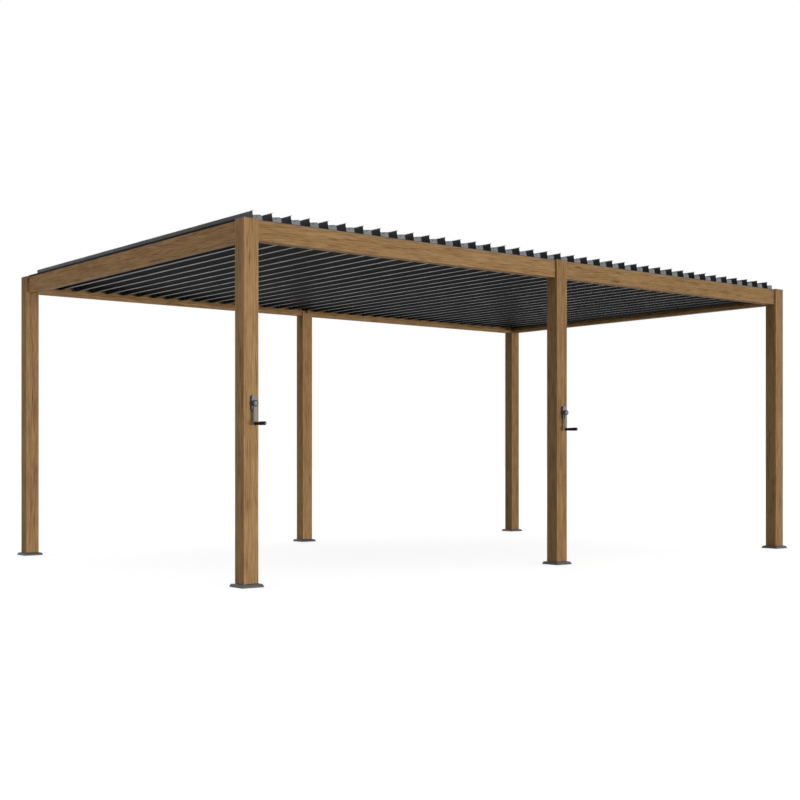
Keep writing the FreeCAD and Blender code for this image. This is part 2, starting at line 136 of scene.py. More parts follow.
def makeFloor():
    reach = floorLook["reach"]
    corners = [(x, y, floorLook["level"])
               for x, y in ((-reach, -reach), (reach, -reach), (reach, reach), (-reach, reach))]
    mesh = bpy.data.meshes.new("studioFloor")
    mesh.from_pydata(corners, [], [(0, 1, 2, 3)])
    floor = addObject("studioFloor", mesh)
    material = bpy.data.materials.new("paleFloor")
    material.use_nodes = True
    tree = material.node_tree
    tree.nodes.clear()
    matt = tree.nodes.new("ShaderNodeBsdfDiffuse")
    matt.inputs["Color"].default_value = (*floorLook["color"], 1)
    glow = tree.nodes.new("ShaderNodeEmission")
    glow.inputs["Strength"].default_value = floorLook["lift"]
    lifted = tree.nodes.new("ShaderNodeAddShader")
    mix = tree.nodes.new("ShaderNodeMixShader")
    out = tree.nodes.new("ShaderNodeOutputMaterial")
    tree.links.new(matt.outputs[0], lifted.inputs[0])
    tree.links.new(glow.outputs[0], lifted.inputs[1])
    tree.links.new(seenDirectly(tree), mix.inputs[0])
    tree.links.new(matt.outputs[0], mix.inputs[1])
    tree.links.new(lifted.outputs[0], mix.inputs[2])
    tree.links.new(mix.outputs[0], out.inputs[0])
    mesh.materials.append(material)
    floor.visible_shadow = False     # the front lamp stands so low that the floor would cut it


def makeSun(name):
    strength, elevation, heading, width = light[name]
    data = bpy.data.lights.new(name, "SUN")
    data.energy = strength
    data.angle = math.radians(width)
    sun = addObject(name, data)
    up = math.radians(elevation)
    right = math.radians(heading)
    towards = Vector((math.sin(right) * math.cos(up), -math.cos(right) * math.cos(up), math.sin(up)))
    sun.rotation_euler = towards.to_track_quat("Z", "Y").to_euler()


makeCamera()
makeWorld()
makeFloor()
makeSun("frontSun")
makeSun("backFill")
bpy.context.scene.view_settings.view_transform = "Standard"
print("camera, floor and light made")

# Shared effects


def newGroup(name, inputs, outputs):
    group = bpy.data.node_groups.new(name, "ShaderNodeTree")
    for label, kind, value in inputs:
        socket = group.interface.new_socket(name=label, in_out="INPUT", socket_type=kind)
        if value is not None:
            socket.default_value = value
    for label, kind in outputs:
        group.interface.new_socket(name=label, in_out="OUTPUT", socket_type=kind)
    entry = group.nodes.new("NodeGroupInput")
    leave = group.nodes.new("NodeGroupOutput")
    return group, entry.outputs, leave.inputs


# A link or a plain value into a socket
def feed(tree, socket, value):
    if isinstance(value, bpy.types.NodeSocket):
        tree.links.new(value, socket)
    else:
        socket.default_value = value


# A node with its settings and its inputs, each by its label or, as i0 or i1, by its number
def place(tree, kind, settings=None, **values):
    node = tree.nodes.new(kind)
    for key, value in (settings or {}).items():
        setattr(node, key, value)
    for key, value in values.items():
        numbered = key[0] == "i" and key[1:].isdigit()
        socket = node.inputs[int(key[1:]) if numbered else key.replace("_", " ")]
        feed(tree, socket, value)
    return node


def maths(tree, operation, first, second=0.0, third=None, clamp=False):
    settings = {"operation": operation, "use_clamp": clamp}
    node = place(tree, "ShaderNodeMath", settings, i0=first, i1=second)
    if third is not None:
        feed(tree, node.inputs[2], third)
    return node.outputs[0]


def vectorMaths(tree, operation, *values):
    node = place(tree, "ShaderNodeVectorMath", {"operation": operation})
    for socket, value in zip(node.inputs, values):
        feed(tree, socket, value)
    return node


def stretched(tree, vector, factors):
    return vectorMaths(tree, "MULTIPLY", vector, factors).outputs[0]


def blendColors(tree, factor, first, second):
    node = tree.nodes.new("ShaderNodeMix")
    node.data_type = "RGBA"
    for index, value in ((0, factor), (6, first), (7, second)):     # the node's sockets for colours
        feed(tree, node.inputs[index], value)
    return node.outputs[2]


def noise(tree, vector, detail=2.0, roughness=0.5, scale=1.0):
    node = place(tree, "ShaderNodeTexNoise", Vector=vector, Scale=scale, Detail=detail,
                 Roughness=roughness)
    return node.outputs["Fac"]


def spread(tree, value, low, high, toLow=0.0, toHigh=1.0):
    node = place(tree, "ShaderNodeMapRange", Value=value, From_Min=low, From_Max=high,
                 To_Min=toLow, To_Max=toHigh)
    return node.outputs[0]


grain = {
    # three numbers are repeats per metre, twice across the board and once along it
    "bend": (2.0, 2.0, 1.3),
    "bendReach": (0.13, 0.13, 0),        # metres by which the heart line leaves the board's middle
    "bendNoise": (2.0, 0.45),            # detail, roughness
    "wobble": ((30, 30, 2.2), 3.0, 2.2),     # repeats, detail, reach in rings
    "lateWood": 1.6,                     # above 1 the dark part of a ring is narrow
    "tone": 0.60,                        # of the plain print, from 0 dark to 1 light
    # broad, middle and fine fibres, then patches: repeats, detail, lowest noise, share in the tone
    "fibres": (((32, 32, 1.8), 2.0, 0.30, 0.24),
               ((85, 85, 4.5), 3.0, 0.30, 0.28),
               ((270, 270, 9.0), 2.0, 0.30, 0.62),
               ((11, 11, 3.2), 2.0, 0.35, 0.10)),
    "fibreTop": 0.7,                     # highest noise
    "pores": ((800, 800, 26.0), 1.0),    # repeats, detail
    "poreNoise": (0.62, 0.72),
    "poreShare": 0.22,
    "edge": (0.68, 0.90),                # where the colour grows lighter towards a face's edges as a painted highlight, in half widths of the face
    "edgeShare": 0.10,
    "knots": (15, 15, 3.0),
    "knotSize": (0.06, 0.20),            # from its core to its rim, as a part of its cell
    "knotShare": 0.30,
    "middleTone": 0.45,
    "roughness": (0.60, 0.46),           # of the darkest and the lightest print
}


# Printed oak: its length runs along the vector's Z, and X and Y are 0 in the middle of the piece
def makeOakGroup():
    group, given, result = newGroup(
        "oakPrint",
        [("Vector", "NodeSocketVector", None), ("Seed", "NodeSocketVector", (0, 0, 0)),
         ("Light Tone", "NodeSocketColor", (0.40, 0.25, 0.12, 1)),
         ("Middle Tone", "NodeSocketColor", (0.32, 0.19, 0.085, 1)),
         ("Dark Tone", "NodeSocketColor", (0.17, 0.09, 0.04, 1)),
         ("Half Width", "NodeSocketFloat", 0.055), ("Ring Spacing", "NodeSocketFloat", 0.006),
         ("Flames", "NodeSocketFloat", 0.15), ("Knots", "NodeSocketFloat", 1.0)],
        [("Color", "NodeSocketColor"), ("Roughness", "NodeSocketFloat"), ("Height", "NodeSocketFloat")])
    middle = given["Vector"]
    vector = vectorMaths(group, "ADD", middle, given["Seed"]).outputs[0]
    # slow bends of the heart line, which give the flames
    detail, roughness = grain["bendNoise"]
    bend = place(group, "ShaderNodeTexNoise", Vector=stretched(group, vector, grain["bend"]),
                 Scale=1.0, Detail=detail, Roughness=roughness)
    heart = vectorMaths(group, "MULTIPLY_ADD", bend.outputs["Color"], grain["bendReach"], middle)
    apart = place(group, "ShaderNodeSeparateXYZ", Vector=heart.outputs[0])
    flat = place(group, "ShaderNodeCombineXYZ", X=apart.outputs[0], Y=apart.outputs[1])
    far = vectorMaths(group, "LENGTH", flat.outputs[0])
    rings = maths(group, "DIVIDE", far.outputs["Value"], given["Ring Spacing"])
    repeats, detail, reach = grain["wobble"]
    wobble = noise(group, stretched(group, vector, repeats), detail)
    rings = maths(group, "ADD", rings, maths(group, "MULTIPLY", wobble, reach))
    lateWood = maths(group, "POWER", maths(group, "PINGPONG", rings, 1.0), grain["lateWood"])
    tone = grain["tone"]
    for repeats, detail, low, share in grain["fibres"]:
        fibre = noise(group, stretched(group, vector, repeats), detail)
        fibre = spread(group, fibre, low, grain["fibreTop"], -0.5, 0.5)
        tone = maths(group, "MULTIPLY_ADD", fibre, share, tone)
    # the colour is a little lighter along the edges of a face, a painted highlight along its corners
    sides = place(group, "ShaderNodeSeparateXYZ", Vector=middle)
    across = maths(group, "MINIMUM", maths(group, "ABSOLUTE", sides.outputs[0]),
                   maths(group, "ABSOLUTE", sides.outputs[1]))
    edge = spread(group, maths(group, "DIVIDE", across, given["Half Width"]), *grain["edge"])
    cells = place(group, "ShaderNodeTexVoronoi", {"feature": "F1"},
                  Vector=stretched(group, vector, grain["knots"]), Scale=1.0, Randomness=1.0)
    knot = spread(group, cells.outputs["Distance"], *grain["knotSize"], 1.0, 0.0)
    knot = maths(group, "MULTIPLY", knot, given["Knots"])
    repeats, detail = grain["pores"]
    pores = noise(group, stretched(group, vector, repeats), detail)
    pores = spread(group, pores, *grain["poreNoise"])
    tone = maths(group, "MULTIPLY_ADD", edge, grain["edgeShare"], tone)
    tone = maths(group, "SUBTRACT", tone, maths(group, "MULTIPLY", lateWood, given["Flames"]))
    tone = maths(group, "MULTIPLY_ADD", knot, -grain["knotShare"], tone)
    tone = maths(group, "MULTIPLY_ADD", pores, -grain["poreShare"], tone, clamp=True)
    upper = spread(group, tone, grain["middleTone"], 1.0)
    lower = spread(group, tone, 0.0, grain["middleTone"])
    color = blendColors(group, lower, given["Dark Tone"], given["Middle Tone"])
    color = blendColors(group, upper, color, given["Light Tone"])
    group.links.new(color, result["Color"])
    group.links.new(spread(group, tone, 0.0, 1.0, *grain["roughness"]), result["Roughness"])
    group.links.new(tone, result["Height"])
    return group


coating = {
    "clouds": (3.0, 0.55, 6.0),          # detail, roughness and scale of each noise
    "specks": (4.0, 0.65, 55.0),
    "peel": (2.0, 0.5, 950.0),
    "cloudNoise": (0.3, 0.7),            # from no cloud to full cloud, and so on
    "speckNoise": (0.52, 0.78),
    "dustColor": (0.45, 0.42, 0.38, 1),
    "dustRoughness": 0.4,                # added where dust lies
    "cloudRoughness": (-0.05, 0.08),     # added between the clouds and on them
    "peelDepth": 0.0002,
}


# Powder coat: fine orange peel, a little cloudiness and dust
def makeCoatGroup():
    group, given, result = newGroup(
        "powderCoat",
        [("Vector", "NodeSocketVector", None), ("Color", "NodeSocketColor", (0.05, 0.052, 0.055, 1)),
         ("Cloudiness", "NodeSocketFloat", 0.15), ("Dust", "NodeSocketFloat", 0.1),
         ("Roughness", "NodeSocketFloat", 0.42)],
        [("Color", "NodeSocketColor"), ("Roughness", "NodeSocketFloat"), ("Height", "NodeSocketFloat")])
    vector = given["Vector"]
    cloud = spread(group, noise(group, vector, *coating["clouds"]), *coating["cloudNoise"], -1.0, 1.0)
    factor = maths(group, "MULTIPLY_ADD", cloud, given["Cloudiness"], 1.0)
    tinted = place(group, "ShaderNodeVectorMath", {"operation": "SCALE"}, i0=given["Color"],
                   Scale=factor)
    specks = spread(group, noise(group, vector, *coating["specks"]), *coating["speckNoise"])
    dusty = maths(group, "MULTIPLY", specks, given["Dust"])
    color = blendColors(group, dusty, tinted.outputs[0], coating["dustColor"])
    shine = spread(group, cloud, -1.0, 1.0, *coating["cloudRoughness"])
    shine = maths(group, "ADD", shine, given["Roughness"])
    shine = maths(group, "ADD", shine, maths(group, "MULTIPLY", dusty, coating["dustRoughness"]))
    group.links.new(color, result["Color"])
    group.links.new(shine, result["Roughness"])
    group.links.new(noise(group, vector, *coating["peel"]), result["Height"])
    return group


oakPrint = makeOakGroup()
powderCoat = makeCoatGroup()

# Materials


def newMaterial(name):
    material = bpy.data.materials.new(name)
    material.use_nodes = True
    tree = material.node_tree
    where = tree.nodes.new("ShaderNodeTexCoord").outputs["Object"]
    return material, tree, tree.nodes["Principled BSDF"], where


# The group feeds the shader's colour, roughness and, through a bump, its normal
def useGroup(tree, group, shader, strength, depth, **values):
    node = tree.nodes.new("ShaderNodeGroup")
    node.node_tree = group
    for key, value in values.items():
        feed(tree, node.inputs[key.replace("_", " ")], value)
    tree.links.new(node.outputs["Color"], shader.inputs["Base Color"])
    tree.links.new(node.outputs["Roughness"], shader.inputs["Roughness"])
    bump = place(tree, "ShaderNodeBump", Height=node.outputs["Height"], Strength=strength,
                 Distance=depth)
    tree.links.new(bump.outputs[0], shader.inputs["Normal"])


woodLook = {
    "light": (0.402, 0.248, 0.114),
    "middle": (0.283, 0.164, 0.072),
    "dark": (0.132, 0.069, 0.029),
    "ringSpacing": 0.0065,
    "flames": 0.22,
    "knots": 0.9,
    "bump": 0.2,
    "bumpDepth": 0.0005,
    "specular": 0.02,
}


# middle is the piece's axis, and the last argument lightens or darkens its print, partly as the board's
# own tone and partly as painted light
def makeWood(name, turn, middle, seed, halfWidth, shade):
    material, tree, shader, where = newMaterial(name)
    moved = place(tree, "ShaderNodeMapping", Vector=where, Location=[-a for a in middle])
    along = place(tree, "ShaderNodeMapping", Vector=moved.outputs[0],
                  Rotation=[math.radians(a) for a in turn])
    tones = [(*[part * shade for part in woodLook[key]], 1) for key in ("light", "middle", "dark")]
    useGroup(tree, oakPrint, shader, woodLook["bump"], woodLook["bumpDepth"], Vector=along.outputs[0],
             Seed=seed, Light_Tone=tones[0], Middle_Tone=tones[1], Dark_Tone=tones[2],
             Half_Width=halfWidth, Ring_Spacing=woodLook["ringSpacing"], Flames=woodLook["flames"],
             Knots=woodLook["knots"])
    shader.inputs["Specular IOR Level"].default_value = woodLook["specular"]
    return material


def makeCoat(name, color, roughness, cloudiness=0.12, dust=0.08, metallic=0.0, specular=0.5,
             peel=0.25):
    material, tree, shader, where = newMaterial(name)
    useGroup(tree, powderCoat, shader, peel, coating["peelDepth"], Vector=where, Color=(*color, 1),
             Cloudiness=cloudiness, Dust=dust, Roughness=roughness)
    shader.inputs["Metallic"].default_value = metallic
    shader.inputs["Specular IOR Level"].default_value = specular
    return material


finishes = {
    "anthraciteLouvre": {"color": (0.023, 0.025, 0.029), "roughness": 0.42, "dust": 0.03,
                         "specular": 0.38},
    "flashingBlack": {"color": (0.008, 0.008, 0.009), "roughness": 0.7, "dust": 0.0, "specular": 0.1},
    # the end caps: the louvres' anthracite lightened to a mid grey, painted light
    "greyEndCap": {"color": (0.175, 0.18, 0.19), "roughness": 0.5, "cloudiness": 0.2, "dust": 0.1},
    "anthraciteTrim": {"color": (0.068, 0.072, 0.077), "roughness": 0.42, "cloudiness": 0.2,
                       "dust": 0.12},
    "bearingPlastic": {"color": (0.042, 0.043, 0.045), "roughness": 0.6},
    "driveGrey": {"color": (0.225, 0.235, 0.255), "roughness": 0.45, "cloudiness": 0.1, "dust": 0.05,
                  "specular": 0.25},
    # a darker coat for the housings' sides and back, painted shade
    "housingDark": {"color": (0.055, 0.058, 0.066), "roughness": 0.5, "dust": 0.02, "specular": 0.2},
    "driveDark": {"color": (0.03, 0.031, 0.034), "roughness": 0.4},
    "gripBlack": {"color": (0.006, 0.006, 0.007), "roughness": 0.55, "dust": 0.02, "specular": 0.12},
    "hubGrey": {"color": (0.20, 0.205, 0.225), "roughness": 0.45, "cloudiness": 0.08, "dust": 0.03,
                "specular": 0.3},
    "dullSteel": {"color": (0.30, 0.305, 0.32), "roughness": 0.38, "cloudiness": 0.08, "dust": 0.03,
                  "metallic": 0.6, "peel": 0.1},
}
coats = {name: makeCoat(name, **values) for name, values in finishes.items()}
print("materials made")

# Pieces of the frame, with their edges softened

softEdges = {
    "post": 0.0014,
    "beam": 0.0008,
    "cover": 0.0010,
    "cap": 0.0010,
    "housing": 0.0022,
    "segments": 2,
    "weld": 0.00002,         # points closer than this are one
    "flatAngle": 1,          # degrees
    "bevelAngle": 30,
    "smoothAngle": 20,
}


def paint(name, material):
    piece = nodes[name]
    if piece.material_slots:
        piece.material_slots[0].material = material
    else:
        piece.data.materials.append(material)


# An object for the mesh, shaded smooth, that rides on a body
def finished(mesh, name, material, body, smoothAngle=35):
    mesh.polygons.foreach_set("use_smooth", [True] * len(mesh.polygons))
    mesh.set_sharp_from_angle(angle=math.radians(smoothAngle))
    if not mesh.materials:
        mesh.materials.append(material)
    piece = addObject(name, mesh)
    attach(piece, body)
    return piece


# The plain mesh that a stand's modifier makes, without the stand
def plainMesh(stand):
    bpy.context.view_layer.update()
    graph = bpy.context.evaluated_depsgraph_get()
    mesh = bpy.data.meshes.new_from_object(stand.evaluated_get(graph))
    bpy.data.objects.remove(stand)
    return mesh


# A copy of a CAD node's mesh, merged and with bevelled edges
def softened(name, width):
    form = bmesh.new()
    form.from_mesh(nodes[name].data)
    bmesh.ops.remove_doubles(form, verts=form.verts, dist=softEdges["weld"])
    bmesh.ops.dissolve_limit(form, angle_limit=math.radians(softEdges["flatAngle"]), verts=form.verts,
                             edges=form.edges)
    mesh = bpy.data.meshes.new(name + "Soft")
    form.to_mesh(mesh)
    form.free()
    mesh.materials.clear()
    stand = addObject("bevelStand", mesh)
    bevel = stand.modifiers.new("bevel", "BEVEL")
    bevel.width = width
    bevel.segments = softEdges["segments"]
    bevel.limit_method = "ANGLE"
    bevel.angle_limit = math.radians(softEdges["bevelAngle"])
    bevel.use_clamp_overlap = True
    return plainMesh(stand)


def dress(name, pieceName, edges, material):
    mesh = softened(name, softEdges[edges])
    piece = finished(mesh, pieceName, material, "frame", softEdges["smoothAngle"])
    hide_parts(name)
    return piece


# How light each print is, partly each board's own tone and partly painted light that evens out how the
# lamps fall on the boards (those the roof shades, such as the back beams, are lightened), and where in
# the oak it is cut
boards = {
    "post_front_left": (1.16, (0.31, 0.12, 0.0)),
    "post_front_middle": (0.96, (2.43, 0.72, 1.9)),
    "post_front_right": (1.00, (4.14, 1.33, 3.7)),
    "post_back_left": (1.10, (6.20, 2.05, 5.2)),
    "post_back_middle": (1.18, (8.07, 2.61, 7.1)),
    "post_back_right": (0.88, (10.32, 3.41, 8.8)),
    "beam_front_left": (1.05, (12.5, 4.12, 10.3)),
    "beam_front_right": (0.97, (14.2, 4.75, 12.9)),
    "beam_back_left": (1.20, (16.9, 5.31, 15.4)),
    "beam_back_right": (1.20, (18.4, 6.02, 18.1)),
    "beam_left": (1.20, (20.6, 6.64, 20.7)),
    "beam_right": (1.04, (22.3, 7.18, 23.3)),
}


# The turn that lays the print along a board, half the board's width, and its axis
def boardAxis(name):
    low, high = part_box(name)
    middle = (low + high) / 2
    if name.startswith("post"):
        middle.z = 0
        return (0, 0, 0), (high.x - low.x) / 2, middle
    if "front" in name or "back" in name:
        middle.x = 0
        return (0, 90, 0), (high.z - low.z) / 2, middle
    middle.y = 0
    return (90, 0, 0), (high.z - low.z) / 2, middle


for name, (shade, seed) in boards.items():
    turn, halfWidth, middle = boardAxis(name)
    kind, *where = name.split("_")
    label = kind + "".join(word.title() for word in where)
    wood = makeWood("oak" + label.title(), turn, middle, seed, halfWidth, shade)
    dress(name, label, kind, wood)
dress("foot_covers", "footCovers", "cover", coats["anthraciteTrim"])
dress("post_caps", "postCaps", "cap", coats["anthraciteTrim"])
housings = dress("crank_housings", "crankHousings", "housing", coats["driveGrey"])
# only the housings' front plates are light; their other faces take a darker coat, painted shade for the
# sides that the hub and arm shade
housings.data.materials.append(coats["housingDark"])
for face in housings.data.polygons:
    face.material_index = 0 if face.normal.y < -0.5 else 1
paint("base_plates", coats["anthraciteTrim"])
paint("bearing_rails", coats["bearingPlastic"])
paint("side_flashing", coats["flashingBlack"])
print("frame dressed")

# Turned forms


# The finished mesh of a form, with its faces pointing outwards
def closedMesh(form, name):
    bmesh.ops.recalc_face_normals(form, faces=form.faces)
    mesh = bpy.data.meshes.new(name)
    form.to_mesh(mesh)
    form.free()
    return mesh


def joinRings(form, rings):
    for lower, upper in zip(rings, rings[1:]):
        for step in range(len(lower)):
            after = (step + 1) % len(lower)
            form.faces.new((lower[step], lower[after], upper[after], upper[step]))


# A closed lathe form: profile is (distance along, radius) from the first pole to the last
def turned(profile, steps, start, direction, name):
    form = bmesh.new()
    turn = Vector(direction).to_track_quat("Z", "Y").to_matrix()
    rings = []
    for along, radius in profile:
        if radius == 0:
            rings.append([form.verts.new(turn @ Vector((0, 0, along)) + Vector(start))])
            continue
        ring = []
        for step in range(steps):
            angle = 2 * math.pi * step / steps
            point = Vector((radius * math.cos(angle), radius * math.sin(angle), along))
            ring.append(form.verts.new(turn @ point + Vector(start)))
        rings.append(ring)
    for lower, upper in zip(rings, rings[1:]):
        for step in range(steps):
            after = (step + 1) % steps
            corners = [lower[step % len(lower)], lower[after % len(lower)],
                       upper[after % len(upper)], upper[step % len(upper)]]
            unique = list(dict.fromkeys(corners))
            if len(unique) > 2:
                form.faces.new(unique)
    return closedMesh(form, name)


# Points of a profile, each given as (distance beyond a plane, distance inside a radius)
def rim(plane, radius, points):
    return [(plane + beyond, radius - inside) for beyond, inside in points]


# Cranks

crank = {
    "front": (0, -1, 0),
    # distances before the post
    "hubBack": 0.0203,
    "hubFront": 0.0443,
    "armFront": 0.0353,
    "hubRadius": 0.020,
    "hubBackRim": ((0, 0.0012), (0.0012, 0)),
    "hubFrontRim": ((-0.0045, 0), (-0.0022, 0.0007), (-0.0006, 0.0024), (-0.0002, 0.0038)),
    "hubRecess": ((-0.0006, -0.0004), (-0.0016, 0)),
    "hubSteps": 40,
    "faceRadius": 0.0150,
    "faceDepth": 0.0030,
    "faceRim": ((-0.0012, 0.0002), (-0.0003, 0.0012), (0, 0.0035)),
    "faceHollow": ((-0.0002, 0.0052), (-0.0014, 0.0040), (-0.0016, 0)),     # beyond the front, radius
    "faceSteps": 32,
    "armWidth": 0.022,
    "armThickness": 0.007,
    "armLength": 0.130,
    "armBackEdge": (0.0008, 0.94),       # depth, share of the width at its end
    "armFrontEdge": (0.0012, 0.90),
    "armGroove": (0.0007, 0.66),
    "armSteps": 12,
    "footRadius": 0.0122,
    "footBackRim": ((-0.0008, 0.0008), (0, 0)),
    "footFrontRim": ((-0.0009, 0), (0.0001, 0.0012)),
    "footCrown": 0.0003,
    "footSteps": 28,
    "gripRadius": 0.0125,
    "gripLength": 0.114,
    "gripGap": 0.0005,
    "gripNeck": (0.80, 0.86),            # shares of the radius at the arm and past its edge there
    "gripEdge": 0.0015,
    "gripWaist": 0.82,
    "gripInset": 0.02,
    "gripSwell": (0.18, 1.05, 0.62),     # share of the radius, how soon it is reached, part of a wave
    "gripRibs": 5,
    "gripRibDepth": 0.025,
    "gripRounding": 0.007,
    "gripEndRim": ((-0.0045, 0.97), (-0.002, 0.90), (-0.0006, 0.76), (0, 0.6)),     # share of the radius
    "gripSteps": (44, 28),               # along, around
    "boltHeadLength": 0.003,
    "boltHeadSunk": 0.0004,
    "boltHeadRadii": (0.0036, 0.0040, 0.0038, 0.0028, 0.0022, 0.0018),
    "boltHeadEdge": 0.0008,
    "boltHeadShoulder": 0.6,             # share of its length, where its hollow ends too
    "boltHeadSteps": 24,
}


# A knob with a rounded rim and a recess for its face
def hubMesh(centre):
    radius = crank["hubRadius"]
    back = crank["hubBack"]
    front = crank["hubFront"]
    recess = rim(front, crank["faceRadius"], crank["hubRecess"])
    profile = [(back, 0)] + rim(back, radius, crank["hubBackRim"])
    profile += rim(front, radius, crank["hubFrontRim"]) + recess + [(recess[-1][0], 0)]
    return turned(profile, crank["hubSteps"], centre, crank["front"], "crankHub")


# The grey face of the knob, hollow in the middle
def hubFaceMesh(centre):
    front = crank["hubFront"]
    back = front - crank["faceDepth"]
    edge = rim(front, crank["faceRadius"], crank["faceRim"])
    profile = [(back, 0), (back, edge[0][1])] + edge
    profile += [(front + beyond, radius) for beyond, radius in crank["faceHollow"]]
    return turned(profile, crank["faceSteps"], centre, crank["front"], "crankHubFace")


# A flat bar with round ends and a shallow groove down its face
def armMesh(centre):
    half = crank["armWidth"] / 2
    length = crank["armLength"]
    steps = crank["armSteps"]
    outline = []
    for step in range(steps + 1):
        angle = math.pi * step / steps
        outline.append((half * math.cos(angle), half * math.sin(angle)))
    for step in range(steps + 1):
        angle = math.pi + math.pi * step / steps
        outline.append((half * math.cos(angle), -length + half * math.sin(angle)))
    front = crank["armFront"]
    back = front - crank["armThickness"]
    backEdge, backShare = crank["armBackEdge"]
    frontEdge, frontShare = crank["armFrontEdge"]
    groove, grooveShare = crank["armGroove"]
    levels = [(back, backShare), (back + backEdge, 1.0), (front - frontEdge, 1.0),
              (front, frontShare), (front - groove, grooveShare)]
    form = bmesh.new()
    rings = []
    for depth, share in levels:
        ring = []
        for x, z in outline:
            middle = 0 if z > 0 else max(z, -length)
            spot = Vector((x * share, -depth, middle + (z - middle) * share))
            ring.append(form.verts.new(Vector(centre) + spot))
        rings.append(ring)
    joinRings(form, rings)
    form.faces.new(list(reversed(rings[0])))
    form.faces.new(rings[-1])
    return closedMesh(form, "crankArm")


# A grip that swells towards its end, with shallow ribs
def gripMesh(centre):
    length = crank["gripLength"]
    radius = crank["gripRadius"]
    edge = crank["gripEdge"]
    swell, hurry, wave = crank["gripSwell"]
    steps, around = crank["gripSteps"]
    start = crank["armFront"] + crank["gripGap"]
    end = start + length
    neck, collar = crank["gripNeck"]
    profile = [(start, 0), (start, radius * neck), (start + edge, radius * collar)]
    for step in range(1, steps):
        t = step / steps
        body = crank["gripWaist"] + swell * math.sin(math.pi * min(1, t * hurry) * wave) ** 2
        rib = crank["gripRibDepth"] * math.cos(2 * math.pi * crank["gripRibs"] * t)
        along = start + edge + (length - crank["gripRounding"]) * t
        profile.append((along, radius * min(1.0, body - crank["gripInset"] + rib)))
    profile += [(end + beyond, radius * share) for beyond, share in crank["gripEndRim"]]
    profile.append((end, 0))
    return turned(profile, around, centre, crank["front"], "crankGrip")


def boltHeadMesh(centre):
    start = crank["armFront"] + crank["gripLength"] + 2 * crank["gripGap"] - crank["boltHeadSunk"]
    end = start + crank["boltHeadLength"]
    shoulder = start + crank["boltHeadLength"] * crank["boltHeadShoulder"]
    neck, widest, upper, top, hollow, floor = crank["boltHeadRadii"]
    profile = [(start, 0), (start, neck), (start + crank["boltHeadEdge"], widest), (shoulder, upper),
               (end, top), (end, hollow), (shoulder, floor), (shoulder, 0)]
    return turned(profile, crank["boltHeadSteps"], centre, crank["front"], "gripBoltHead")


# The dark boss at the arm's foot that carries the grip's bolt
def footMesh(centre):
    front = crank["armFront"]
    back = front - crank["armThickness"]
    backRim = rim(back, crank["footRadius"], crank["footBackRim"])
    frontRim = rim(front, crank["footRadius"], crank["footFrontRim"])
    profile = [(backRim[0][0], 0)] + backRim + frontRim + [(front + crank["footCrown"], 0)]
    return turned(profile, crank["footSteps"], centre, crank["front"], "crankFoot")


def makeCrank(side):
    body = "crank_" + side
    low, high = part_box("crank_arm_" + side)
    boltEnd = crank["armFront"] + crank["gripLength"] + 2 * crank["gripGap"] + crank["boltHeadLength"]
    hub = ((low.x + high.x) / 2, low.y + boltEnd, high.z - crank["hubRadius"])
    foot = (hub[0], hub[1], hub[2] - crank["armLength"])
    label = side.title()
    finished(hubMesh(hub), "crankHub" + label, coats["driveDark"], body)
    finished(hubFaceMesh(hub), "crankHubFace" + label, coats["hubGrey"], body)
    arm = finished(armMesh(hub), "crankArm" + label, coats["driveGrey"], body)
    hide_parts("crank_arm_" + side)
    finished(footMesh(foot), "crankFoot" + label, coats["driveDark"], body)
    finished(boltHeadMesh(foot), "gripBoltHead" + label, coats["dullSteel"], body)
    grip = finished(gripMesh(foot), "crankGrip" + label, coats["gripBlack"], "grip_" + side)
    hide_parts("crank_grip_" + side)


for side in ("left", "right"):
    makeCrank(side)
print("cranks made")

# Louvres

louvre = {
    # the section at its closed place, in distances from the pin
    "left": 0.0825,
    "gutterLeft": 0.0795,
    "gutterTop": 0.008,
    "gutterCorner": 0.005,
    "shoulder": 0.041,
    "right": 0.052,
    "rise": 0.024,
    "drop": 0.045,
    "corner": 0.016,
    "cornerSteps": 4,
    "openAngle": 98,         # degrees from closed to the place at rest
    "pinReach": 0.021,       # from the end cap to the louvre's end
    "capProud": 0.0008,      # the cap's face in front of its plate
    "capInset": 0.0012,
    "capEdge": (0.0002, 0.0004),         # inset, and depth before and behind the plate
    "capDish": (0.0045, 0.0052, 0.0006),     # insets of the hollow's rim and floor, its depth
    # how far the gutter's top, the shoulder and the gutter's corner follow an inset
    "slant": (0.3, 0.5, 0.4),
}
screw = {
    "radius": 0.0042,
    "spots": ((0.041, -0.001), (-0.030, 0.010), (-0.052, -0.034)),
    "steps": 14,
    # (height, radius) for a head of radius 1
    "profile": ((0, 0), (0, 1.0), (0.18, 1.0), (0.38, 0.86), (0.48, 0.55), (0.48, 0.42), (0.2, 0.36),
                (0.2, 0)),
}


